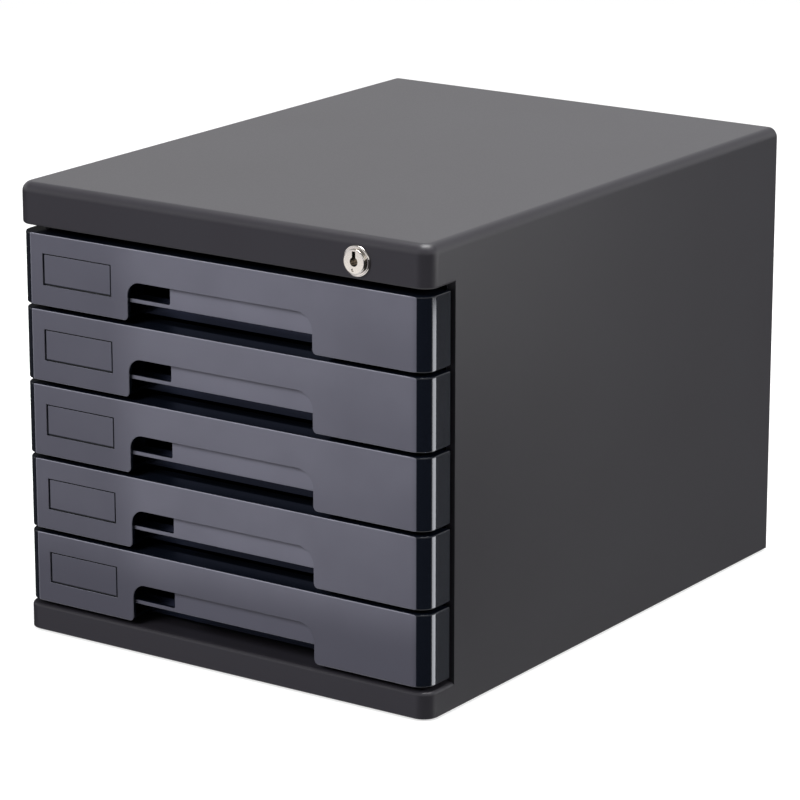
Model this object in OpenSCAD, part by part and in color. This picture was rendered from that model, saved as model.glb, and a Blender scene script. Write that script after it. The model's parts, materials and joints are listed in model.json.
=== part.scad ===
// Desktop file cabinet with five A4 drawers and one cam lock for all of them.
// Millimetres. +Z is up, the drawers open towards -Y, +X is to the right as seen
// from the front. The origin is the centre of the footprint, on the table.

/* [Case] */
// Width of the case over its side walls
case_w = 265; // [255:1:300]
// Depth of the case from the header's front face to its back edge
case_d = 350; // [340:1:400]
// Thickness of the case's side, top and front walls
case_wall = 3; // [2.5:0.5:3.5]
// Radius of the upright front corners
case_corner_r = 8.5; // [7:0.5:12]
// Radius of the long edges of the top
top_edge_r = 5.5; // [4:0.5:7]
// Distance of the side walls' front edges behind the front face
side_setback = 23.7; // [23.5:0.1:28]
// Height of the plinth under the drawers
plinth_h = 14.4; // [12:0.2:24]
// Radius of the plinth's upper edge
plinth_edge_r = 2; // [1:0.5:3]
// Thickness of the case's floor
floor_t = 3; // [2:0.5:4]
// Height of the header above the drawers
header_h = 22.8; // [22:0.2:32]
// Radius of the header's lower edge
header_edge_r = 1.5; // [0.5:0.5:2.5]
// Thickness of the header's underside
header_floor_t = 2; // [1.5:0.5:2]
// Depth of the header's underside
header_floor_d = 60; // [50:1:90]
// Thickness of the ribs under the floor
base_rib_t = 2; // [1.5:0.5:3]
// Height of the ribs under the floor
base_rib_h = 3; // [2:0.5:5]

/* [Drawer fronts] */
// Height of a drawer front
front_h = 39.2; // [38:0.2:60]
// Gap between two fronts, and between the lowest one and the plinth
front_gap = 2.4; // [1.5:0.1:4]
// Gap between the top front and the header
header_gap = 3.8; // [1.5:0.1:5]
// How far a front stays inside the case's sides
front_inset = 1.5; // [0.5:0.1:3]
// Radius of a front's upright corners
front_corner_r = 9; // [6:0.5:12]
// Wall thickness of a front
front_wall = 2.5; // [2:0.1:3]
// Thickness of a front's upper and lower returns
return_t = 2; // [1.5:0.1:2.5]
// Depth of the returns that wrap round the sides
side_return_d = 21.5; // [20.5:0.1:22]
// Radius of a front's long outer edges
front_edge_r = 0.8; // [0.4:0.1:1.2]

/* [Grip] */
// Left end of the grip cut-out, from the middle of the front
grip_left = 58.3; // [40:0.1:64]
// Right end of the grip cut-out, from the middle of the front
grip_right = 61; // [40:0.1:85]
// Height of the grip cut-out above the front's lower edge
grip_h = 21.5; // [18:0.1:25]
// Radius of the cut-out's upper left corner
grip_left_r = 8; // [4:0.5:10]
// Radius of the cut-out's upper right corner
grip_right_r = 10; // [4:0.5:12]
// Radius of the flares at the cut-out's foot
grip_flare_r = 3; // [2:0.5:5]
// Height of the pull's lower edge above the front's lower edge
pull_drop = 9.6; // [8:0.1:11]
// Thickness of the pull
pull_t = 2.5; // [2:0.1:3]
// How far the pull reaches past the cut-out's ends and top
pull_margin = 6; // [4:0.5:8]
// Height of the strip under the pull's window
sill_h = 2.2; // [1.5:0.1:4]
// Width of the pull's window that the cut-out shows
window_w = 26.4; // [15:0.1:40]

/* [Label] */
// Distance of the label pocket's left edge from the front's left end
label_in = 15.6; // [13:0.1:18]
// Width of the label pocket
label_w = 46.4; // [30:0.1:50]
// Height of the label pocket
label_h = 17.5; // [12:0.1:20]
// Height of the label pocket's lower edge above the front's lower edge
label_rise = 11.3; // [6:0.1:14]
// Depth of the label pocket
label_depth = 1.5; // [1.2:0.1:1.6]
// Thickness of the label plate
label_t = 1.2; // [0.8:0.1:1.2]
// Reveal round the label plate
label_gap = 0.7; // [0.4:0.1:1]

/* [Trays] */
// Distance of a tray's side from the case's inner wall
tray_side_gap = 10; // [9.5:0.1:12]
// Wall thickness of a tray
tray_wall = 2.2; // [1.8:0.1:3]
// Thickness of a tray's floor
tray_floor = 2; // [1.5:0.1:3]
// Height of a tray's sides and back
tray_h = 36; // [35:0.1:37]
// Radius of a tray's upright corners
tray_corner_r = 5; // [3:0.5:8]
// Distance of a tray's front wall behind the front face
tray_setback = 19.3; // [18.5:0.1:19.3]
// Height of the runner strips above the tray's underside
flange_rise = 28; // [27.5:0.1:29]
// Thickness of the runner strips
flange_t = 2.5; // [2:0.1:3]
// Reach of the runner strips from the tray's side
flange_reach = 4.5; // [4:0.1:5]
// Extra reach of the stop blocks past the strips
stop_reach = 2.2; // [1.8:0.1:2.4]
// Length of the stop block behind each strip
stop_len = 12; // [8:1:20]
// How far a drawer pulls out
travel = 245; // [200:5:250]
// Height of the ridges on a tray's floor
ridge_h = 0.8; // [0.4:0.1:1.2]
// Length of the front screws' shanks in the bosses of a front
front_screw_len = 8; // [6:0.5:10]

/* [Runner frames] */
// Thickness of the frames' side plates
frame_t = 2.8; // [2.4:0.1:3]
// Thickness of a rail
rail_t = 2; // [1.5:0.1:2.4]
// Running clearance between strip and rails
rail_clear = 0.4; // [0.3:0.1:0.5]
// Gap between a rail's edge and the tray's side
rail_edge_gap = 1.1; // [0.8:0.1:1.5]
// Thickness of the walls at the rails' back ends
rail_end_t = 3; // [2:0.5:4]

/* [Back] */
// Thickness of the back panel
back_t = 3; // [2:0.5:4]
// How far the back panel lies inside the case's back edge
back_inset = 2; // [1:0.5:4]
// Radius of the back screws' shanks
back_screw_r = 1.5; // [1:0.1:1.8]
// Length of the back screws' shanks in the runner frames
back_screw_len = 8; // [6:0.5:9]

/* [Lock] */
// Distance of the lock's axis from the case's right side
lock_in = 43.5; // [38:0.5:50]
// Height of the lock's axis above the header's lower edge
lock_rise = 9.8; // [9.6:0.1:11]
// Radius of the lock's bezel
bezel_r = 8.2; // [7.5:0.1:9]
// Thickness of the bezel
bezel_t = 1.2; // [0.8:0.1:2]
// Radius of the plug's head
head_r = 6.6; // [6:0.1:7]
// Thickness of the plug's head
head_t = 1.7; // [1:0.1:2.5]
// Radius of the lock's barrel
barrel_r = 6.5; // [6.2:0.1:6.8]
// Length of the barrel behind the front face
barrel_len = 20; // [18:0.5:21]
// Radius of the turning plug
plug_r = 5; // [4.5:0.1:5.2]
// Radial running clearance of the plug
plug_clear = 0.05; // [0.02:0.01:0.1]
// Radius of the circle that the cam's pin runs on
pin_orbit = 5; // [4.5:0.1:5]
// Radius of the cam's pin
pin_r = 1.5; // [1.2:0.1:1.8]
// Thickness of the cam
cam_t = 2; // [1.5:0.1:2.5]
// Angle that the key turns through
key_turn = 90; // [60:5:90]

/* [Lock bar] */
// Thickness of the lock bar's sheet
bar_t = 1.5; // [1.2:0.1:1.5]
// Width of the lock bar
bar_w = 10; // [8:0.5:10]
// Height of a locking tab
tab_h = 4.2; // [3.5:0.1:4.5]
// Height of a tray's catch
catch_h = 5.5; // [4.5:0.1:6]
// Height of the bar's guides
guide_h = 5; // [4:0.5:6]

/* [Feet] */
// Radius of a rubber foot
foot_r = 8; // [5:0.5:10]
// How far the feet stand below the case
foot_proud = 1; // [0.5:0.1:2]
// Thickness of a foot
foot_t = 3; // [2:0.5:4]
// Distance of the feet's centres from the case's outer faces
foot_in = 24; // [20:1:40]

/* [Hidden] */
$fn = 64;

drawers = 5;
part_gap = 0.3;      // clearance between pieces that move past each other
seat_gap = 0.1;      // clearance round pieces that are pushed together
cut = 1;             // how far a cutter runs past the face that it opens
weld = 0.5;          // how far a rib or boss runs into the wall that carries it

// Depths, from front to back
head_gap = 0.1;
lock_proud = bezel_t + head_gap + head_t;
front_y = (lock_proud - case_d) / 2;
back_y = front_y + case_d;
side_y = front_y + side_setback;
panel_y = back_y - back_inset - back_t;
plate_y = front_y + tray_setback;
rail_end_y = panel_y - rail_end_t;
tray_back_y = rail_end_y - rail_clear;
frame_y = side_y + 1;
panel_stop = 3;
stop_t = 3;

// Heights, from the table up
case_z = foot_proud;
foot_wall = 1.5;
cross_ribs = 4;
plinth_z = case_z + plinth_h;
pitch = front_h + front_gap;
header_z = plinth_z + front_gap + drawers * pitch - front_gap + header_gap;
top_z = header_z + header_h;
function drawer_z(n) = plinth_z + front_gap + (drawers - n) * pitch;

// Half widths, from the middle out
outer_x = case_w / 2;
inner_x = outer_x - case_wall;
base_x = inner_x - seat_gap;
front_x = outer_x - front_inset;
tray_x = inner_x - tray_side_gap;
flange_x = tray_x + flange_reach;
frame_x = inner_x - frame_t;
rail_x = tray_x + rail_edge_gap;
plate_x = front_x - front_wall - part_gap;

// Runner strip and rails, above the tray's underside
rail_low = flange_rise - rail_clear;
rail_high = flange_rise + flange_t + rail_clear;

// Lock and lock bar
lock_x = outer_x - lock_in;
lock_z = header_z + lock_rise;
barrel_end_y = front_y + barrel_len;
cam_y = barrel_end_y + part_gap;
guide_wall = 2;
bar_y = frame_y + guide_wall + part_gap;
bar_x = frame_x - part_gap;
bar_play = 0.5;
tang = 3;
cam_screw_len = 5;
pin_start = -key_turn / 2;
lift = 2 * pin_orbit * sin(key_turn / 2);
pin_x = lock_x - pin_orbit * cos(pin_start);
pin_z = lock_z + pin_orbit * sin(pin_start);
slot_slack = 0.15 + part_gap;
arm_z = header_z + header_floor_t + 0.5;
arm_top = top_z - case_wall - lift - 0.5;
catch_rise = 17.4;
tab_rise = catch_rise - 0.6 - tab_h;
tab_y = bar_y;
catch_y = tab_y + bar_t + 0.6;
catch_d = 4;
catch_gap = 1.4;

// Fronts
label_left = front_x - label_in;
boss_r = 3.5;
boss_x = 100;
boss_low = 7;
boss_high = 33;
screw_r = 1.2;
peg_r = 2;
peg_in = 5;
peg_rise = grip_h + pull_margin / 2 + 1;

case_colour = [0.26, 0.26, 0.27];
face_colour = [0.40, 0.40, 0.45];
tray_colour = [0.10, 0.11, 0.15];
metal_colour = [0.82, 0.81, 0.78];
steel_colour = [0.60, 0.61, 0.63];

// A quarter disc that fills the corner of a square of side r
module quarter(r) {
    intersection() {
        circle(r);
        square(r);
    }
}

// Half of a block's cross-section: outer edges of radius r_top and r_foot at x = w
module edge_profile(w, h, r_top, r_foot) {
    translate([0, r_foot]) square([w, h - r_top - r_foot]);
    if (r_top > 0) {
        translate([0, h - r_top]) square([w - r_top, r_top]);
        translate([w - r_top, h - r_top]) quarter(r_top);
    }
    if (r_foot > 0) {
        square([w - r_foot, r_foot]);
        translate([w - r_foot, r_foot]) mirror([0, 1]) quarter(r_foot);
    }
}

// A block that is symmetric about x = 0, with its front face at y0, round upright
// front corners, and long edges that stay round all the way along front and sides
module wrapped_block(x_half, y0, y1, z0, z1, r_corner, r_top, r_foot) {
    h = z1 - z0;
    mid = x_half - r_corner;
    translate([0, y1, z0]) rotate([90, 0, 0]) linear_extrude(y1 - y0 - r_corner)
        union() {
            edge_profile(x_half, h, r_top, r_foot);
            mirror([1, 0]) edge_profile(x_half, h, r_top, r_foot);
        }
    translate([-mid, y0 + r_corner, z0]) rotate([90, 0, 90]) linear_extrude(2 * mid)
        mirror([1, 0]) edge_profile(r_corner, h, r_top, r_foot);
    for (side = [-1, 1])
        translate([side * mid, y0 + r_corner, z0])
            rotate_extrude() edge_profile(r_corner, h, r_top, r_foot);
}

// A box given by its two corners
module span(low, high) {
    translate(low) cube(high - low);
}

// A box that is symmetric about x = 0
module wide_span(x_half, y0, y1, z0, z1) {
    span([-x_half, y0, z0], [x_half, y1, z1]);
}

// A cylinder along +Y from y0 to y1
module rod(x, z, y0, y1, r) {
    translate([x, y0, z]) rotate([-90, 0, 0]) cylinder(h = y1 - y0, r = r);
}

// A flat shape in x and z that is carried along +Y from y0 to y1
module along_y(y0, y1) {
    translate([0, y1, 0]) rotate([90, 0, 0]) linear_extrude(y1 - y0) children();
}

// Case shell: side walls, top and header with its underside

module shell_outside() {
    translate([0, back_y, case_z]) rotate([90, 0, 0]) linear_extrude(back_y - side_y)
        union() {
            edge_profile(outer_x, top_z - case_z, top_edge_r, 0.5);
            mirror([1, 0]) edge_profile(outer_x, top_z - case_z, top_edge_r, 0.5);
        }
    wrapped_block(outer_x, front_y, side_y, header_z, top_z, case_corner_r, top_edge_r, header_edge_r);
}

module shell_inside() {
    wrapped_block(inner_x, front_y + case_wall, back_y + cut, header_z + header_floor_t,
        top_z - case_wall, case_corner_r - case_wall, top_edge_r - case_wall, 0);
    wide_span(inner_x, side_y - cut, back_y + cut, case_z - cut, header_z);
    wide_span(inner_x, front_y + header_floor_d, back_y + cut,
        header_z - cut, header_z + header_floor_t + cut);
}

module case_shell() {
    color(case_colour) difference() {
        union() {
            difference() {
                shell_outside();
                shell_inside();
            }
            wide_span(inner_x + weld, panel_y - panel_stop, panel_y,
                top_z - case_wall - panel_stop, top_z - case_wall + weld);
        }
        rod(lock_x, lock_z, front_y - cut, front_y + case_wall + cut, barrel_r + seat_gap);
        span([bar_x - bar_t - bar_play, bar_y - bar_play, header_z - cut],
            [bar_x + bar_play, bar_y + bar_w + bar_play, arm_z]);
    }
}

// Case base: plinth and ribbed floor, between the shell's side walls

module base_ribs() {
    rib_z = plinth_z - floor_t - base_rib_h;
    rib_top = plinth_z - floor_t + weld;
    y0 = front_y + case_wall - weld;
    y1 = back_y - case_wall + weld;
    for (x = [-inner_x / 2, 0, inner_x / 2])
        span([x - base_rib_t / 2, y0, rib_z], [x + base_rib_t / 2, y1, rib_top]);
    for (i = [1:cross_ribs]) {
        y = front_y + case_d * i / (cross_ribs + 1);
        wide_span(base_x, y - base_rib_t / 2, y + base_rib_t / 2, rib_z, rib_top);
    }
}

module foot_places() {
    for (x = [-1, 1])
        for (y = [front_y + foot_in, back_y - foot_in])
            translate([x * (outer_x - foot_in), y, 0]) children();
}

module case_base() {
    color(case_colour) difference() {
        union() {
            difference() {
                union() {
                    wrapped_block(outer_x, front_y, side_y, case_z, plinth_z,
                        case_corner_r, plinth_edge_r, 0.5);
                    wide_span(base_x, side_y - weld, back_y, case_z, plinth_z);
                }
                wrapped_block(inner_x, front_y + case_wall, side_y + cut, case_z - cut,
                    plinth_z - floor_t, case_corner_r - case_wall, 0, 0);
                wide_span(inner_x + cut, side_y, back_y - case_wall, case_z - cut, plinth_z - floor_t);
            }
            base_ribs();
            foot_places() translate([0, 0, foot_t])
                cylinder(h = plinth_z - floor_t + weld - foot_t, r = foot_r + foot_wall);
        }
        foot_places() cylinder(h = foot_t, r = foot_r + seat_gap);
    }
}

// Back panel and its screws

screw_heights = [for (n = [1, 3, 5]) drawer_z(n) + flange_rise / 2];
back_screw_x = (rail_x + frame_x) / 2;

module back_screw_places() {
    for (side = [-1, 1])
        for (z = screw_heights)
            translate([side * back_screw_x, 0, z]) children();
}

module back_panel() {
    edge = 12;
    panel_h = top_z - case_wall - plinth_z - 2 * seat_gap;
    color(case_colour) difference() {
        translate([0, 0, plinth_z + seat_gap]) along_y(panel_y, panel_y + back_t)
            for (side = [0, 1])
                mirror([side, 0]) edge_profile(inner_x - seat_gap, panel_h, top_edge_r - case_wall, 0);
        wide_span(inner_x - edge * 2, panel_y + back_t - 1, panel_y + back_t + cut,
            plinth_z + edge, top_z - case_wall - edge);
        back_screw_places() rod(0, 0, panel_y - cut, panel_y + back_t + cut, back_screw_r + 0.2);
    }
}

module back_screws() {
    color(steel_colour) back_screw_places() difference() {
        union() {
            rod(0, 0, panel_y + back_t, panel_y + back_t + 1.6, back_screw_r * 2);
            rod(0, 0, panel_y - back_screw_len, panel_y + back_t, back_screw_r);
        }
        cross_recess(panel_y + back_t + 1.6, -1, back_screw_r * 1.1);
    }
}

// The driver's cross in a screw's head; into is the direction that it sinks in
module cross_recess(y, into, reach) {
    deep = 0.9;
    low = into > 0 ? y - cut : y - deep;
    high = into > 0 ? y + deep : y + cut;
    span([-reach, low, -0.4], [reach, high, 0.4]);
    span([-0.4, low, -reach], [0.4, high, reach]);
}

// Runner frames: a side plate with two rails for each drawer

module rail_pair(n, y0) {
    z = drawer_z(n);
    stop_y = tray_back_y - stop_len - travel - 0.3;
    wall = frame_x + weld;
    low = z + rail_low;
    high = z + rail_high;
    for (r = [low - rail_t, high])
        span([rail_x, y0, r], [wall, panel_y, r + rail_t]);
    span([rail_x, rail_end_y, low - weld], [wall, panel_y, high + weld]);
    span([flange_x + part_gap, stop_y - stop_t, low - weld], [wall, stop_y, high + weld]);
}

module screw_bosses() {
    half = back_screw_r + 2.5;
    bore = back_screw_len + 2;
    for (z = screw_heights)
        difference() {
            span([rail_x, panel_y - bore - 2, z - half], [frame_x + weld, panel_y, z + half]);
            rod(back_screw_x, z, panel_y - bore, panel_y + cut, back_screw_r + 0.05);
        }
}

module runner_frame(y0) {
    span([frame_x, frame_y, plinth_z], [inner_x, panel_y, header_z]);
    for (n = [1:drawers]) rail_pair(n, y0);
    screw_bosses();
}

module left_runner_frame() {
    color(case_colour) mirror([1, 0, 0]) runner_frame(frame_y);
}

// A guide keeps the lock bar against the plate: two posts with lips over the bar
module bar_guide(n) {
    z = drawer_z(n) + 4;
    top = z + guide_h;
    inner = bar_x - bar_t - part_gap;
    rear = bar_y + bar_w;
    difference() {
        span([inner - guide_wall, frame_y, z], [frame_x + weld, rear + part_gap + guide_wall, top]);
        span([inner, bar_y - part_gap, z - cut], [frame_x, rear + part_gap, top + cut]);
        span([inner - guide_wall - cut, bar_y + guide_wall, z - cut],
            [frame_x, rear - guide_wall, top + cut]);
    }
}

module right_runner_frame() {
    color(case_colour) union() {
        runner_frame(bar_y + bar_w + part_gap + guide_wall);
        for (n = [1:drawers]) bar_guide(n);
    }
}

// Feet

module rubber_feet() {
    color([0.12, 0.12, 0.12]) foot_places() cylinder(h = foot_t, r = foot_r);
}

// Lock: housing with its clip, plug, cam, cam screw and the bar that the cam lifts

clip_t = 1.2;
groove_r = barrel_r - 0.6;
groove_y = front_y + case_wall;

module lock_housing() {
    color(metal_colour) difference() {
        union() {
            translate([lock_x, front_y, lock_z]) rotate([90, 0, 0]) rotate_extrude()
                edge_profile(bezel_r, bezel_t, bezel_t * 0.75, 0);
            rod(lock_x, lock_z, front_y, groove_y, barrel_r);
            rod(lock_x, lock_z, groove_y, groove_y + clip_t + seat_gap, groove_r);
            rod(lock_x, lock_z, groove_y + clip_t + seat_gap, barrel_end_y, barrel_r);
        }
        rod(lock_x, lock_z, front_y - bezel_t - cut, barrel_end_y + cut, plug_r + plug_clear);
    }
}

module lock_clip() {
    reach = barrel_r + 1;
    color(steel_colour) along_y(groove_y, groove_y + clip_t) difference() {
        translate([lock_x, lock_z]) union() {
            circle(reach);
            translate([-reach, -barrel_r]) square([2 * reach, barrel_r]);
        }
        translate([lock_x, lock_z]) circle(groove_r + seat_gap);
        translate([lock_x - groove_r - seat_gap, lock_z - 2 * reach])
            square([2 * (groove_r + seat_gap), 2 * reach]);
    }
}

// The head is a dome-edged disc; the keyhole is a round hole with a slot above it
module lock_plug() {
    head_y = front_y - bezel_t - head_gap;
    hole_r = 2.4;
    slot_w = 2.1;
    slot_top = 5.4;
    hole_end = front_y + barrel_len / 2;
    color(metal_colour) difference() {
        union() {
            translate([lock_x, head_y, lock_z]) rotate([90, 0, 0]) rotate_extrude()
                edge_profile(head_r, head_t, 0.6, 0);
            rod(lock_x, lock_z, head_y, barrel_end_y, plug_r);
            span([lock_x - tang, barrel_end_y - weld, lock_z - tang],
                [lock_x + tang, cam_y + cam_t - seat_gap, lock_z + tang]);
        }
        rod(lock_x, lock_z, head_y - head_t - cut, hole_end, hole_r);
        span([lock_x - slot_w / 2, head_y - head_t - cut, lock_z],
            [lock_x + slot_w / 2, hole_end, lock_z + slot_top]);
        rod(lock_x - 0.6, lock_z - 4.3, head_y - head_t - cut, head_y - head_t + 0.6, 0.9);
        rod(lock_x, lock_z, barrel_end_y - cam_screw_len - 1, cam_y + cam_t + cut, screw_r + 0.05);
    }
}

module lock_cam() {
    color(steel_colour) difference() {
        union() {
            rod(lock_x, lock_z, cam_y, cam_y + cam_t, 5.4);
            rod(pin_x, pin_z, cam_y, cam_y + cam_t, pin_r + 1.4);
            rod(pin_x, pin_z, cam_y, bar_y + bar_t + 1.2, pin_r);
        }
        span([lock_x - tang - seat_gap / 2, cam_y - cut, lock_z - tang - seat_gap / 2],
            [lock_x + tang + seat_gap / 2, cam_y + cam_t + cut, lock_z + tang + seat_gap / 2]);
    }
}

module lock_cam_screw() {
    color(steel_colour) difference() {
        union() {
            rod(lock_x, lock_z, cam_y + cam_t, cam_y + cam_t + 1.4, 3.6);
            rod(lock_x, lock_z, barrel_end_y - cam_screw_len, cam_y + cam_t, screw_r);
        }
        translate([lock_x, 0, lock_z]) cross_recess(cam_y + cam_t + 1.4, -1, 1.8);
    }
}

// The bar is one bent sheet: upright strip, arm with the cam's slot, a tab per drawer
module lock_bar() {
    strip_z = plinth_z + part_gap;
    slot_reach = pin_orbit - pin_orbit * cos(pin_start) + part_gap;
    color(steel_colour) difference() {
        union() {
            span([bar_x - bar_t, bar_y, strip_z], [bar_x, bar_y + bar_w, arm_top]);
            span([pin_x - slot_reach - pin_r - 3, bar_y, arm_z], [bar_x, bar_y + bar_t, arm_top]);
            for (n = [1:drawers])
                span([rail_x, tab_y, drawer_z(n) + tab_rise],
                    [bar_x - weld, tab_y + bar_t, drawer_z(n) + tab_rise + tab_h]);
        }
        for (x = [pin_x - slot_reach + part_gap / 2, pin_x + part_gap / 2])
            rod(x, pin_z, bar_y - cut, bar_y + bar_t + cut, pin_r + slot_slack);
        span([pin_x - slot_reach + part_gap / 2, bar_y - cut, pin_z - pin_r - slot_slack],
            [pin_x + part_gap / 2, bar_y + bar_t + cut, pin_z + pin_r + slot_slack]);
    }
}

// Drawer front: a shallow moulding that wraps round to the tray's front plate

// Outline of the grip cut-out, open at the foot, with flared lower corners
module grip_outline() {
    run = grip_left + grip_right;
    translate([-grip_left, -cut]) {
        square([run, grip_h + cut - max(grip_left_r, grip_right_r)]);
        translate([grip_left_r, 0]) square([run - grip_left_r - grip_right_r, grip_h + cut]);
        square([grip_left_r, grip_h + cut - grip_left_r]);
    }
    translate([grip_left_r - grip_left, grip_h - grip_left_r]) circle(grip_left_r);
    translate([grip_right - grip_right_r, grip_h - grip_right_r]) circle(grip_right_r);
    for (end = [-1, 1]) {
        x = end < 0 ? -grip_left : grip_right;
        difference() {
            translate([x - grip_flare_r, -cut]) square([2 * grip_flare_r, cut + grip_flare_r]);
            translate([x + end * grip_flare_r, grip_flare_r]) circle(grip_flare_r);
        }
    }
}

module boss_places() {
    for (side = [-1, 1])
        for (z = [boss_low, boss_high])
            translate([side * boss_x, 0, z]) children();
}

module peg_places() {
    for (x = [-grip_left - pull_margin + peg_in, grip_right + pull_margin - peg_in])
        translate([x, 0, peg_rise]) children();
}

module drawer_front(n) {
    back = front_y + side_return_d;
    color(face_colour) translate([0, 0, drawer_z(n)]) difference() {
        union() {
            difference() {
                wrapped_block(front_x, front_y, back, 0, front_h,
                    front_corner_r, front_edge_r, front_edge_r);
                wrapped_block(front_x - front_wall, front_y + front_wall, back + cut, return_t,
                    front_h - return_t, front_corner_r - front_wall, 0, 0);
                wide_span(plate_x + part_gap, plate_y, back + cut, -cut, front_h + cut);
                span([-grip_left - grip_flare_r, front_y + front_wall, -cut],
                    [grip_right + grip_flare_r, back + cut, return_t + cut]);
            }
            boss_places() rod(0, 0, front_y + front_wall - weld, plate_y, boss_r);
            peg_places() rod(0, 0, front_y + front_wall - weld, front_y + front_wall + pull_t + 1, peg_r);
        }
        boss_places() rod(0, 0, plate_y - front_screw_len - 1, plate_y + cut, screw_r + 0.05);
        along_y(front_y - cut, front_y + front_wall + seat_gap) grip_outline();
        span([-label_left, front_y - cut, label_rise],
            [-label_left + label_w, front_y + label_depth, label_rise + label_h]);
    }
}

// The pull fills the upper part of the cut-out from behind, with a window at its left
module drawer_pull(n) {
    y0 = front_y + front_wall;
    left = -grip_left - pull_margin;
    right = grip_right + pull_margin;
    top = grip_h + pull_margin + 2;
    window_right = window_w - grip_left;
    sill = pull_drop + sill_h;
    color(face_colour) translate([0, 0, drawer_z(n)]) difference() {
        translate([left, y0 + pull_t, pull_drop]) rotate([90, 0, 90]) linear_extrude(right - left)
            mirror([1, 0]) edge_profile(pull_t, top - pull_drop, 0, 0.8);
        along_y(y0 - cut, y0 + pull_t + cut) {
            translate([left + 2, sill]) square([window_right - left - 3.2, grip_h + 1 - sill]);
            translate([left + 2, sill + 1.2]) square([window_right - left - 2, grip_h - 0.2 - sill]);
            translate([window_right - 1.2, sill + 1.2]) circle(1.2);
        }
        peg_places() rod(0, 0, y0 - cut, y0 + pull_t + cut, peg_r + seat_gap);
    }
}

module drawer_label(n) {
    color(face_colour) translate([0, 0, drawer_z(n)])
        span([-label_left + label_gap, front_y + label_depth - label_t, label_rise + label_gap],
            [-label_left + label_w - label_gap, front_y + label_depth, label_rise + label_h - label_gap]);
}

// Tray: open box behind a wide front plate

module box_plan(x_half, y0, y1, r) {
    translate([-x_half, y0 + r]) square([2 * x_half, y1 - y0 - 2 * r]);
    translate([r - x_half, y0]) square([2 * (x_half - r), y1 - y0]);
    for (side = [-1, 1])
        for (y = [y0 + r, y1 - r])
            translate([side * (x_half - r), y]) circle(r);
}

module tray_box() {
    difference() {
        union() {
            linear_extrude(tray_h) box_plan(tray_x, plate_y, tray_back_y, tray_corner_r);
            wide_span(tray_x, plate_y, plate_y + tray_corner_r + 1, 0, tray_h);
        }
        translate([0, 0, tray_floor]) linear_extrude(tray_h)
            box_plan(tray_x - tray_wall, plate_y + tray_wall, tray_back_y - tray_wall,
                tray_corner_r - tray_wall);
    }
}

module tray_ridges() {
    step = (tray_x - tray_wall) / 4;
    end_gap = 24;
    for (i = [-3:3])
        span([i * step - 1, plate_y + end_gap, tray_floor - weld],
            [i * step + 1, tray_back_y - end_gap, tray_floor + ridge_h]);
}

module drawer_tray(n) {
    sight_x = window_w - grip_left - 2;
    color(tray_colour) translate([0, 0, drawer_z(n)]) difference() {
        union() {
            tray_box();
            wide_span(plate_x, plate_y, plate_y + tray_wall, 0, front_h - 0.4);
            tray_ridges();
        }
        span([-grip_left - pull_margin, plate_y - cut, pull_drop],
            [sight_x, plate_y + tray_wall + cut, grip_h + 3]);
        boss_places() rod(0, 0, plate_y - cut, plate_y + tray_wall + cut, screw_r + 0.3);
    }
}

// Runner strips on the tray's sides, a stop block behind each, and the lock's catch
module drawer_runners(n) {
    top = flange_rise + flange_t;
    strip_end = tray_back_y - stop_len;
    color(tray_colour) translate([0, 0, drawer_z(n)]) {
        for (side = [0, 1])
            mirror([side, 0, 0]) {
                span([tray_x, plate_y + tray_wall, flange_rise], [flange_x, strip_end - seat_gap, top]);
                span([tray_x, strip_end, flange_rise], [flange_x + stop_reach, tray_back_y, top]);
            }
        span([tray_x, catch_y, catch_rise],
            [bar_x - bar_t - catch_gap, catch_y + catch_d, catch_rise + catch_h]);
    }
}

module drawer_screws(n) {
    head_y = plate_y + tray_wall;
    color(steel_colour) translate([0, 0, drawer_z(n)]) boss_places() difference() {
        union() {
            rod(0, 0, plate_y - front_screw_len, head_y, screw_r);
            rod(0, 0, head_y, head_y + 1.4, screw_r * 2);
        }
        cross_recess(head_y + 1.4, -1, screw_r * 1.2);
    }
}

case_shell();
case_base();
back_panel();
back_screws();
left_runner_frame();
right_runner_frame();
rubber_feet();
lock_housing();
lock_clip();
lock_plug();
lock_cam();
lock_cam_screw();
lock_bar();
for (n = [1:drawers]) {
    drawer_front(n);
    drawer_pull(n);
    drawer_label(n);
    drawer_tray(n);
    drawer_runners(n);
    drawer_screws(n);
}
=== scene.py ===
import json
import math

import bpy
import numpy as np
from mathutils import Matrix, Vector

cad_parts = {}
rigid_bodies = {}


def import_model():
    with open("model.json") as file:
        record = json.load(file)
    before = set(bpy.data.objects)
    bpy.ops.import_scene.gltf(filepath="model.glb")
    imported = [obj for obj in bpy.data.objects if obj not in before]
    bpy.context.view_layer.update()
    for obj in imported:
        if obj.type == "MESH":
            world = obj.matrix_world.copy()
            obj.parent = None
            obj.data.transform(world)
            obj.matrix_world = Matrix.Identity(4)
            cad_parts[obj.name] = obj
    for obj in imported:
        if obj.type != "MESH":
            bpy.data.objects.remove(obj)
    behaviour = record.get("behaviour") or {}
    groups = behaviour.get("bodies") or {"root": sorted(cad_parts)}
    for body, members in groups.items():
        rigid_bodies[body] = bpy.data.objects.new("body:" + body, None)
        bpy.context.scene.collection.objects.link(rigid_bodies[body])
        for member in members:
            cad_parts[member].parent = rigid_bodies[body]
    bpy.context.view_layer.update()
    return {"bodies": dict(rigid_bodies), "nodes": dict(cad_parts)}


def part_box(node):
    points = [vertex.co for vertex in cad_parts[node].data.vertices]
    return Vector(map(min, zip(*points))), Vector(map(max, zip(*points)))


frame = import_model()

MM = 0.001
NODES = frame["nodes"]
DRAWERS = sorted(body for body in frame["bodies"] if body.startswith("drawer_"))
FRONTS = [drawer + "_front" for drawer in DRAWERS]
CASE = ["case_shell", "case_base"]
FRONT_CORNER_R = 9 * MM          # the fronts' upright corners

# ---------------------------------------------------------------- camera

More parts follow.
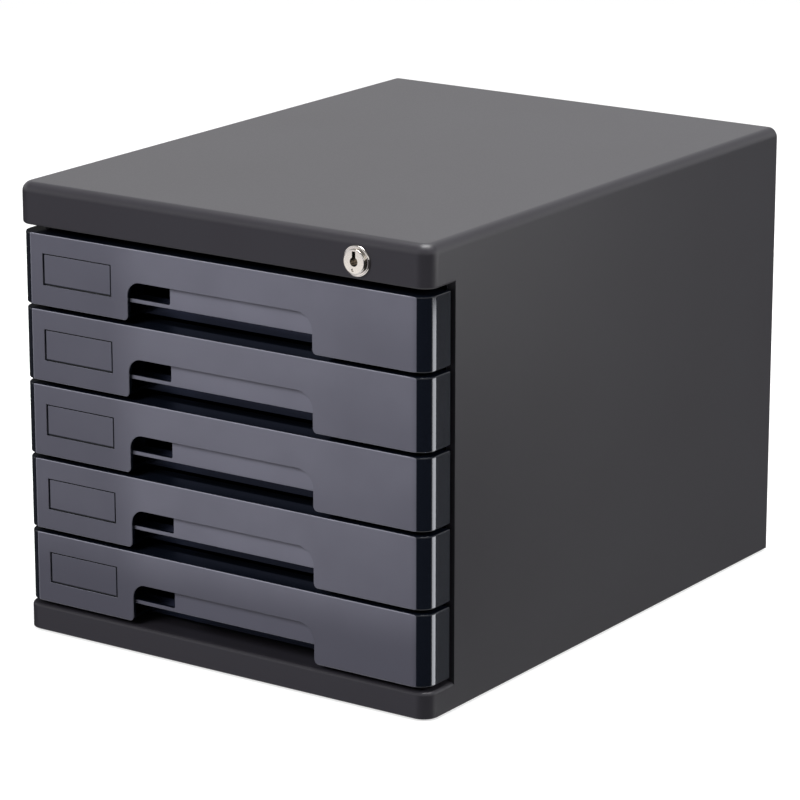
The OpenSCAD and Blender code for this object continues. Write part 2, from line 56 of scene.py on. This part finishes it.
# The camera that the picture was taken with, worked out from edges all over the picture
VIEW_AZIMUTH = math.radians(34.568)      # from the front, round to the object's right
VIEW_ELEVATION = math.radians(15.752)
VIEW_DISTANCE = 2178.1 * MM
LOOK_RIGHT = -4.379 * MM                 # where the line of sight passes the origin
LOOK_UP = 104.882 * MM
FOCAL_PIXELS = 3857.0
IMAGE_PIXELS = 800
SENSOR = 36.0
SEAT = Vector((0.0, 1.2, 1.0)) * MM      # the frame's origin, seen from the camera fit's own

view_back = Vector((math.sin(VIEW_AZIMUTH) * math.cos(VIEW_ELEVATION),
                    -math.cos(VIEW_AZIMUTH) * math.cos(VIEW_ELEVATION),
                    math.sin(VIEW_ELEVATION)))
view_right = Vector((math.cos(VIEW_AZIMUTH), math.sin(VIEW_AZIMUTH), 0.0))
view_up = view_back.cross(view_right)


def add_camera():
    """Puts the camera where the picture was taken from."""
    data = bpy.data.cameras.new("camera")
    data.sensor_width = SENSOR
    data.lens = FOCAL_PIXELS * SENSOR / IMAGE_PIXELS
    camera = bpy.data.objects.new("camera", data)
    camera.location = (view_back * VIEW_DISTANCE + view_right * LOOK_RIGHT + view_up * LOOK_UP
                       + SEAT)
    camera.rotation_euler = (-view_back).to_track_quat("-Z", "Y").to_euler()
    bpy.context.scene.collection.objects.link(camera)
    bpy.context.scene.camera = camera


# ---------------------------------------------------------------- materials

# Sizes of the patterns. One that is too fine to show is drawn as coarse as it must be.
ABS_GRAIN = 0.55 * MM            # really about 0.25 mm
ABS_GRAIN_DEPTH = 0.03 * MM
ABS_CLOUD = 60 * MM              # slow changes of tone over a large moulding
ETCHING = 0.4 * MM               # really under 0.1 mm
ETCHING_DEPTH = 0.02 * MM
FRONT_CLOUD = 35 * MM
FLOW_MARKS = 25 * MM
NICKEL_HAZE = 2.5 * MM
ZINC_SPANGLE = 1.6 * MM
RUBBER_BLOOM = 4 * MM

ABS_IOR = 1.53
STYRENE_IOR = 1.59
RUBBER_IOR = 1.52

GLOSSY_NAVY = "#0E121B"
# painted highlight: the paler colour of the fronts' rounded rims, where they would catch the light
RIM_HIGHLIGHT_LILAC = "#90909C"
GLOSSY_ROUGHNESS = 0.10
SATIN_ROUGHNESS = 0.34
# For each piece: how deep its satin face reaches, and the satin's colour where it is darkest and
# lightest
# the lilac is partly a painted reflection of the soft light, and its darker end is painted shade
SATIN = {"front": (0.5 * MM, "#40404B", "#656571"),
         "pull": (0.3 * MM, "#464652", "#6F6F7C"),
         "label": (0.2 * MM, "#40404B", "#656571")}

# Where the satin wall over the grip fades in and out again, across and above the front's lower
# edge; its lilac is painted light that lifts the shade on the cut-out's upper wall
GRIP_WALL_ACROSS = (-31 * MM, -29 * MM, 60 * MM, 62 * MM)
GRIP_WALL_ABOVE = (17 * MM, 18 * MM, 24 * MM, 25 * MM)

EDGE_ROUNDING = 0.25 * MM        # on the sharp edges of fronts, pulls and labels
WELD_DISTANCE = 0.002 * MM
SHARP_TURN = math.radians(30)    # faces that turn by more than this meet in a sharp edge
BEVEL_TURN = math.radians(40)
FLAT_TURN = math.radians(0.6)    # faces that turn by less than this are one flat


def linear(hex_colour):
    """An sRGB hex colour as linear red, green, blue and alpha."""
    parts = [int(hex_colour[i:i + 2], 16) / 255 for i in (1, 3, 5)]
    return tuple(p / 12.92 if p <= 0.04045 else ((p + 0.055) / 1.055) ** 2.4
                 for p in parts) + (1.0,)


def add(tree, kind, settings=(), sockets=()):
    """Adds a node to a tree, sets its properties, and gives its sockets their values or links."""
    made = tree.nodes.new(kind)
    for name, value in dict(settings).items():
        setattr(made, name, value)
    for key, value in dict(sockets).items():
        if isinstance(value, bpy.types.NodeSocket):
            tree.links.new(value, made.inputs[key])
        else:
            made.inputs[key].default_value = value
    return made


def start_material(name, **sockets):
    """A new material of one Principled shader: it, its tree, its shader and object coordinates."""
    material = bpy.data.materials.new(name)
    material.use_nodes = True
    tree = material.node_tree
    shader = tree.nodes["Principled BSDF"]
    for key, value in sockets.items():
        shader.inputs[key.replace("_", " ")].default_value = value
    return material, tree, shader, add(tree, "ShaderNodeTexCoord").outputs["Object"]


def vary(tree, shader, tone, colours, feel, roughness):
    """Moves a shader's colour between two by one pattern, and its roughness by another."""
    colour = add(tree, "ShaderNodeMix", {"data_type": "RGBA"}, {
        "Factor": tone, 6: linear(colours[0]), 7: linear(colours[1])})
    rough = add(tree, "ShaderNodeMapRange", sockets={
        "Value": feel, "To Min": roughness[0], "To Max": roughness[1]})
    tree.links.new(colour.outputs[2], shader.inputs["Base Color"])
    tree.links.new(rough.outputs["Result"], shader.inputs["Roughness"])


def fade(tree, steps):
    """The product of smooth steps.

    Each step is a value, where its slope starts and ends, and what it is before and after.
    """
    result = None
    for value, start, end, before, after in steps:
        slope = add(tree, "ShaderNodeMapRange", {"interpolation_type": "SMOOTHSTEP"}, {
            "Value": value, "From Min": start, "From Max": end, "To Min": before, "To Max": after})
        if result is None:
            result = slope.outputs["Result"]
        else:
            result = add(tree, "ShaderNodeMath", {"operation": "MULTIPLY"}, {
                0: result, 1: slope.outputs["Result"]}).outputs[0]
    return result


def window(value, opens, open_at, closes, closed_at):
    """The two steps that let a value through between two slopes."""
    return [(value, opens, open_at, 0.0, 1.0), (value, closes, closed_at, 1.0, 0.0)]


def charcoal_abs():
    """Injection-moulded ABS, near-black charcoal, with a fine spark-eroded grain from the mould.

    The grain turns reflections into a soft sheen, weak where the eye meets the surface squarely and
    strong at a slant, so the top looks much paler than the front.
    """
    material, tree, shader, place = start_material("moulded_abs_charcoal", IOR=ABS_IOR)
    grain = add(tree, "ShaderNodeTexNoise", sockets={
        "Vector": place, "Scale": 1 / ABS_GRAIN, "Detail": 2.0, "Roughness": 0.6}).outputs["Fac"]
    cloud = add(tree, "ShaderNodeTexNoise", sockets={
        "Vector": place, "Scale": 1 / ABS_CLOUD, "Detail": 1.0}).outputs["Fac"]
    vary(tree, shader, cloud, ("#262429", "#2A292E"), grain, (0.38, 0.48))
    bump = add(tree, "ShaderNodeBump", sockets={
        "Height": grain, "Strength": 0.35, "Distance": ABS_GRAIN_DEPTH})
    tree.links.new(bump.outputs["Normal"], shader.inputs["Normal"])
    return material


def navy_styrene(piece, face_y, face_depth, dull, bright):
    """Injection-moulded polystyrene, near-black navy and glossy, with a satin flat face.

    The mould is polished but for the broad front faces, whose fine etched texture scatters the
    light. Their greyish lilac beside the black gloss of the corners and returns is partly that
    etched finish and partly a painted reflection of the studio's soft light. The satin ends
    face_depth behind the face's own plane, and at the left a little way round the corner. A front
    has it on the wall over its grip too, down to the pull, and a label's stops short of its left,
    right and lower edges. The rounded rims are painted paler, a painted highlight, and the satin
    is painted darker in places, as painted shade.
    """
    material, tree, shader, place = start_material("moulded_polystyrene_navy_" + piece,
                                                   IOR=STYRENE_IOR)
    split = add(tree, "ShaderNodeSeparateXYZ", sockets={0: place})
    x, y, z = (split.outputs[axis] for axis in "XYZ")
    first_low, first_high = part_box(DRAWERS[0] + "_front")
    pitch = first_low.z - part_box(DRAWERS[1] + "_front")[0].z
    height = first_high.z - first_low.z
    flat_left = first_low.x + FRONT_CORNER_R

    # How far a point is above the lower edge of its own front
    rise = z
    for operation, number in (("SUBTRACT", first_low.z - (len(DRAWERS) - 1) * pitch),
                              ("DIVIDE", pitch), ("FRACT", 0.0), ("MULTIPLY", pitch)):
        rise = add(tree, "ShaderNodeMath", {"operation": operation}, {
            0: rise, 1: number}).outputs[0]

    edges = [(y, face_y + 0.7 * face_depth, face_y + face_depth, 1.0, 0.0),
             (x, flat_left - 1.7 * MM, flat_left - 1.4 * MM, 0.0, 1.0)]
    if piece == "label":
        low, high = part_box(DRAWERS[0] + "_label")
        foot = low.z - first_low.z
        edges += window(x, low.x + 0.4 * MM, low.x + 0.7 * MM, high.x - 0.5 * MM, high.x - 0.2 * MM)
        edges += [(rise, foot + 0.4 * MM, foot + 0.7 * MM, 0.0, 1.0)]
    satin = fade(tree, edges)
    if piece == "front":
        wall = fade(tree, window(x, *GRIP_WALL_ACROSS) + window(rise, *GRIP_WALL_ABOVE))
        satin = add(tree, "ShaderNodeMath", {"operation": "MAXIMUM"}, {
            0: satin, 1: wall}).outputs[0]

    cloud = add(tree, "ShaderNodeTexNoise", sockets={
        "Vector": place, "Scale": 1 / FRONT_CLOUD, "Detail": 2.0}).outputs["Fac"]
    etch = add(tree, "ShaderNodeTexNoise", sockets={
        "Vector": place, "Scale": 1 / ETCHING, "Detail": 2.0}).outputs["Fac"]
    # Painted shade, with the plastic's own faint clouds of tone: the satin's colour is darker
    # towards
    # each front's lower edge, round the label, at the far right and on the lowest front
    painted_shade_and_cloud = fade(tree, [
        (rise, 0.0, height, 0.7, 1.0),                      # painted shade: darker towards the lower edge,
        (x, -75 * MM, -45 * MM, 0.45, 1.0),                 # round the label,
        (x, 40 * MM, 120 * MM, 1.0, 0.85),                  # at the far right,
        (z, first_low.z - 3.6 * pitch, first_low.z - 2.9 * pitch, 0.25, 1.0),   # on the lowest,
        (cloud, 0.0, 1.0, 0.8, 1.2)])                       # and in faint clouds
    # Painted highlight: the rounded rims just behind the face, up to the right corner, are painted
    # paler
    painted_rim_highlight = fade(tree, [(y, face_y + 0.04 * MM, face_y + 0.15 * MM, 0.0, 0.7),
                      (x, 120.5 * MM, 121.5 * MM, 1.0, 0.0)])       # up to the right corner
    lilac = add(tree, "ShaderNodeMix", {"data_type": "RGBA"}, {
        "Factor": painted_shade_and_cloud, 6: linear(dull), 7: linear(bright)})
    rim_highlighted = add(tree, "ShaderNodeMix", {"data_type": "RGBA"}, {
        "Factor": painted_rim_highlight, 6: lilac.outputs[2], 7: linear(RIM_HIGHLIGHT_LILAC)})
    colour = add(tree, "ShaderNodeMix", {"data_type": "RGBA"}, {
        "Factor": satin, 6: linear(GLOSSY_NAVY), 7: rim_highlighted.outputs[2]})
    rough = add(tree, "ShaderNodeMapRange", sockets={
        "Value": satin, "To Min": GLOSSY_ROUGHNESS, "To Max": SATIN_ROUGHNESS})
    tree.links.new(colour.outputs[2], shader.inputs["Base Color"])
    tree.links.new(rough.outputs["Result"], shader.inputs["Roughness"])
    bump = add(tree, "ShaderNodeBump", sockets={
        "Height": etch, "Strength": 0.12, "Distance": ETCHING_DEPTH})
    tree.links.new(bump.outputs["Normal"], shader.inputs["Normal"])
    return material


def tray_styrene():
    """The same polystyrene in the trays: polished inside and out, with faint flow marks."""
    material, tree, shader, place = start_material(
        "polished_polystyrene_navy", IOR=STYRENE_IOR, Specular_Tint=linear("#C4D0FF"))
    flow = add(tree, "ShaderNodeTexNoise", sockets={
        "Vector": place, "Scale": 1 / FLOW_MARKS, "Detail": 3.0, "Distortion": 0.6}).outputs["Fac"]
    vary(tree, shader, flow, ("#10141F", "#151A27"), flow, (0.20, 0.30))
    return material


def nickel_plate():
    """Bright nickel plating on a die-cast lock: a warm white mirror with a faint haze."""
    material, tree, shader, place = start_material("nickel_plated_zinc", Metallic=1.0)
    haze = add(tree, "ShaderNodeTexNoise", sockets={
        "Vector": place, "Scale": 1 / NICKEL_HAZE, "Detail": 3.0}).outputs["Fac"]
    vary(tree, shader, haze, ("#E0DAD2", "#EAE5DD"), haze, (0.09, 0.16))
    return material


def zinc_plate():
    """Zinc-plated steel of the screws, cam and lock bar: blue-grey with a fine spangle."""
    material, tree, shader, place = start_material("zinc_plated_steel", Metallic=1.0)
    spangle = add(tree, "ShaderNodeTexVoronoi", sockets={
        "Vector": place, "Scale": 1 / ZINC_SPANGLE}).outputs["Distance"]
    vary(tree, shader, spangle, ("#B9BEC4", "#A2A7AE"), spangle, (0.28, 0.42))
    return material


def foot_rubber():
    """Moulded black rubber: matt, with a slight bloom."""
    material, tree, shader, place = start_material("moulded_rubber_black", IOR=RUBBER_IOR)
    bloom = add(tree, "ShaderNodeTexNoise", sockets={
        "Vector": place, "Scale": 1 / RUBBER_BLOOM, "Detail": 4.0}).outputs["Fac"]
    vary(tree, shader, bloom, ("#1B1B1B", "#262626"), bloom, (0.7, 0.9))
    return material


def rounded_shading():
    """A modifier tree that joins a node's triangles and shades its roundings as smooth surfaces."""
    tree = bpy.data.node_groups.new("rounded_shading", "GeometryNodeTree")
    for in_out in ("INPUT", "OUTPUT"):
        tree.interface.new_socket("Geometry", in_out=in_out, socket_type="NodeSocketGeometry")
    start = add(tree, "NodeGroupInput")
    joined = add(tree, "GeometryNodeMergeByDistance", sockets={
        "Geometry": start.outputs[0], "Distance": WELD_DISTANCE})
    faces = add(tree, "GeometryNodeSetShadeSmooth", {"domain": "FACE"}, {
        "Geometry": joined.outputs[0]})
    turn = add(tree, "GeometryNodeInputMeshEdgeAngle")
    sharp = add(tree, "FunctionNodeCompare", {"data_type": "FLOAT", "operation": "GREATER_THAN"}, {
        0: turn.outputs[0], 1: SHARP_TURN})
    edges = add(tree, "GeometryNodeSetShadeSmooth", {"domain": "EDGE"}, {
        "Geometry": faces.outputs[0], "Selection": sharp.outputs[0], "Shade Smooth": False})
    add(tree, "NodeGroupOutput", sockets={0: edges.outputs[0]})
    return tree


def smooth_rounds(piece, tree, edge_width=0.0):
    """Shades a CAD node's roundings smoothly, and rounds its sharp edges by edge_width, if any."""
    piece.modifiers.new("rounded_shading", "NODES").node_group = tree
    flatten = piece.modifiers.new("flat_faces", "DECIMATE")
    flatten.decimate_type = "DISSOLVE"
    flatten.angle_limit = FLAT_TURN
    flatten.delimit = {"SHARP"}
    if edge_width:
        bevel = piece.modifiers.new("soft_edges", "BEVEL")
        bevel.width = edge_width
        bevel.segments = 2
        bevel.limit_method = "ANGLE"
        bevel.angle_limit = BEVEL_TURN
        bevel.use_clamp_overlap = True
    level = piece.modifiers.new("level_flats", "WEIGHTED_NORMAL")
    level.keep_sharp = True


def paint(names, material):
    """Gives these CAD nodes one material."""
    for name in names:
        piece = NODES[name]
        piece.data.materials.clear()
        piece.data.materials.append(material)


def dress_nodes():
    """Every CAD node keeps its shape and gets the finish of the real piece."""
    rounded = rounded_shading()
    paint(CASE + ["back_panel", "left_runner_frame", "right_runner_frame"], charcoal_abs())
    for piece, finish in SATIN.items():
        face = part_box("drawer_1_" + piece)[0].y
        names = [drawer + "_" + piece for drawer in DRAWERS]
        paint(names, navy_styrene(piece, face, *finish))
        for name in names:
            smooth_rounds(NODES[name], rounded, EDGE_ROUNDING)
    paint([name for name in NODES if name.endswith(("_tray", "_runners"))], tray_styrene())
    paint(["lock_housing", "lock_plug"], nickel_plate())
    paint([name for name in NODES if name.endswith("_screws")]
          + ["lock_clip", "lock_cam", "lock_cam_screw", "lock_bar"], zinc_plate())
    paint(["rubber_feet"], foot_rubber())
    for piece in NODES.values():
        if not piece.modifiers:
            smooth_rounds(piece, rounded)


# ---------------------------------------------------------------- studio

FLOOR_REACH = 6.0                # half the floor's side
FLOOR_FADE = (0.7, 2.5)          # from here to here, away from the origin, the floor turns white
CEILING_FADE = (0.36, 0.52)      # from here to here, in the sky's height, the backdrop turns dim
ROOM_LIGHT = 0.15                # what the room gives off to surfaces that aren't glossy
LAMP_AIM = (0.0, 0.0, 0.12)
CARD_STEPS = 13
MIDDLE = (0.0, 0.0)
RIGHT_CORNER = (0.122, -0.1645)  # the axis of the fronts' upright corners at the right
LOCK = (0.089, -0.176)
WHITE = (1.0, 1.0, 1.0)

# Each lamp: name, place, side of its square, watts, and whether gloss shows it
LAMPS = [
    ("key", (-0.8, -2.2, 1.9), 1.4, 75, False),
    ("fill", (2.3, 0.2, 1.3), 1.3, 40, False),
    ("overhead", (0.1, 0.2, 2.3), 1.2, 60, True),
]

# Each card: name, the point it stands round, distance, azimuths, heights, radiance, tint, and the
# nodes that it lights, or an empty list for all
CARDS = [
    # the thin bright streak on the fronts' corners
    ("strip_card", RIGHT_CORNER, 0.55, (20.0, 50.0), (-0.22, 0.08), 5.4, (0.97, 0.99, 1.05),
     FRONTS),
    # the soft sheen on the case's right side, strongest near its front
    ("side_strip", RIGHT_CORNER, 0.8, (25.0, 52.0), (-0.45, 0.30), 3.0, WHITE, CASE),
    # near-black that the fronts' right corners mirror beside the streak
    ("front_flag", MIDDLE, 2.4, (-95.0, 10.0), (-2.2, 0.5), 0.03, WHITE, []),
    # the lilac grey that the front faces mirror
    ("left_card", MIDDLE, 2.4, (-141.0, -95.0), (-2.2, 0.5), 0.50, (0.97, 0.94, 1.08), []),
    # near-black that the left corners and the left side mirror
    ("left_flag", MIDDLE, 2.5, (110.0, 220.0), (-2.2, 0.3), 0.06, WHITE, []),
    # dark grey that the right side and the fronts' returns mirror
    ("side_flag", MIDDLE, 2.4, (40.0, 105.0), (-2.2, 0.3), 0.18, WHITE, []),
    # the white that the lock's face mirrors
    ("lock_card", LOCK, 0.9, (-127.6, -121.6), (-0.063, 0.031), 1.2, (1.0, 0.98, 0.95), []),
    # a near screen that keeps light off the fronts' left ends
    ("left_screen", (0.0, -0.14), 0.152, (170.0, 192.0), (0.0, 0.248), 0.05, WHITE, []),
]


def seen_white(tree):
    """A factor that is 1 for rays from the camera, off gloss and through glass, else 0."""
    path = add(tree, "ShaderNodeLightPath")
    seen = add(tree, "ShaderNodeMath", {"operation": "MAXIMUM"}, {
        0: path.outputs["Is Camera Ray"], 1: path.outputs["Is Transmission Ray"]})
    return add(tree, "ShaderNodeMath", {"operation": "MAXIMUM"}, {
        0: seen.outputs[0], 1: path.outputs["Is Glossy Ray"]}).outputs[0]


def add_floor():
    """A plain pale floor that keeps the object's shadow, and turns white far away.

    It doesn't show in gloss: there the white backdrop goes on below it, so that the lowest drawer
    mirrors the same studio as the top one.
    """
    mesh = bpy.data.meshes.new("floor")
    corners = [(-1, -1), (1, -1), (1, 1), (-1, 1)]
    mesh.from_pydata([(x * FLOOR_REACH, y * FLOOR_REACH, 0) for x, y in corners],
                     [], [(0, 1, 2, 3)])
    floor = bpy.data.objects.new("floor", mesh)
    bpy.context.scene.collection.objects.link(floor)
    material = bpy.data.materials.new("painted_studio_floor")
    material.use_nodes = True
    tree = material.node_tree
    tree.nodes.clear()
    place = add(tree, "ShaderNodeTexCoord")
    away = add(tree, "ShaderNodeVectorMath", {"operation": "LENGTH"}, {
        0: place.outputs["Object"]}).outputs["Value"]
    dull = add(tree, "ShaderNodeBsdfDiffuse", sockets={"Color": (0.22, 0.22, 0.22, 1)})
    pale = add(tree, "ShaderNodeBsdfDiffuse", sockets={
        "Color": fade(tree, [(away, *FLOOR_FADE, 0.5, 0.0)])})
    glow = add(tree, "ShaderNodeEmission", sockets={
        "Strength": fade(tree, [(away, *FLOOR_FADE, 0.6, 1.0)])})
    both = add(tree, "ShaderNodeAddShader", sockets={0: pale.outputs[0], 1: glow.outputs[0]})
    mix = add(tree, "ShaderNodeMixShader", sockets={
        0: seen_white(tree), 1: dull.outputs[0], 2: both.outputs[0]})
    add(tree, "ShaderNodeOutputMaterial", sockets={"Surface": mix.outputs[0]})
    mesh.materials.append(material)
    floor.visible_glossy = False


def add_lamp(name, place, side, watts, in_gloss):
    """A square soft lamp at a point, turned to the object."""
    data = bpy.data.lights.new(name, "AREA")
    data.shape = "SQUARE"
    data.size = side
    data.energy = watts
    lamp = bpy.data.objects.new(name, data)
    lamp.location = place
    lamp.rotation_euler = (Vector(LAMP_AIM) - Vector(place)).to_track_quat("-Z", "Y").to_euler()
    lamp.visible_camera = False
    lamp.visible_glossy = in_gloss
    bpy.context.scene.collection.objects.link(lamp)


def add_card(name, around, distance, azimuths, heights, radiance, tint, lit):
    """A bent card that stands round a point and shows in glossy reflections only.

    It is part of a cylinder of radius distance about the upright axis through around. The angle
    runs from the first azimuth to the second, counted from +X towards +Y, and the height between
    the two heights.
    """
    angle = np.radians(np.linspace(azimuths[0], azimuths[1], CARD_STEPS))
    x = around[0] + distance * np.cos(angle)
    y = around[1] + distance * np.sin(angle)
    rows = [np.stack([x, y, np.full(CARD_STEPS, height)], axis=1) for height in heights]
    faces = [(i, i + 1, CARD_STEPS + i + 1, CARD_STEPS + i) for i in range(CARD_STEPS - 1)]
    mesh = bpy.data.meshes.new(name)
    mesh.from_pydata(np.vstack(rows).tolist(), [], faces)
    card = bpy.data.objects.new(name, mesh)
    bpy.context.scene.collection.objects.link(card)
    material = bpy.data.materials.new(name)
    material.use_nodes = True
    tree = material.node_tree
    tree.nodes.clear()
    glow = add(tree, "ShaderNodeEmission", sockets={"Color": tint + (1,), "Strength": radiance})
    add(tree, "ShaderNodeOutputMaterial", sockets={"Surface": glow.outputs[0]})
    material.cycles.emission_sampling = "NONE"
    mesh.materials.append(material)
    card.visible_camera = False
    card.visible_diffuse = False
    card.visible_shadow = False
    card.visible_transmission = False
    if lit:
        receivers = bpy.data.collections.new(name + "_lights")
        for node in lit:
            receivers.objects.link(NODES[node])
        card.light_linking.receiver_collection = receivers


def add_studio():
    """Plain soft light: a white backdrop under a dim ceiling, lamps, and cards for the gloss."""
    world = bpy.data.worlds.new("studio")
    bpy.context.scene.world = world
    world.use_nodes = True
    tree = world.node_tree
    background = tree.nodes["Background"]
    place = add(tree, "ShaderNodeTexCoord")
    split = add(tree, "ShaderNodeSeparateXYZ", sockets={0: place.outputs["Generated"]})
    ceiling = fade(tree, [(split.outputs["Z"], *CEILING_FADE, 1.0, 0.25)])
    level = add(tree, "ShaderNodeMix", {"data_type": "FLOAT"}, {
        "Factor": seen_white(tree), 2: ROOM_LIGHT, 3: ceiling})
    path = add(tree, "ShaderNodeLightPath")
    behind = add(tree, "ShaderNodeMath", {"operation": "MAXIMUM"}, {
        0: level.outputs[0], 1: path.outputs["Is Camera Ray"]})
    tree.links.new(behind.outputs[0], background.inputs["Strength"])
    background.inputs["Color"].default_value = WHITE + (1,)
    for lamp in LAMPS:
        add_lamp(*lamp)
    for card in CARDS:
        add_card(*card)


# ---------------------------------------------------------------- put together

bpy.context.scene.view_settings.view_transform = "Standard"
add_camera()
dress_nodes()
add_floor()
add_studio()
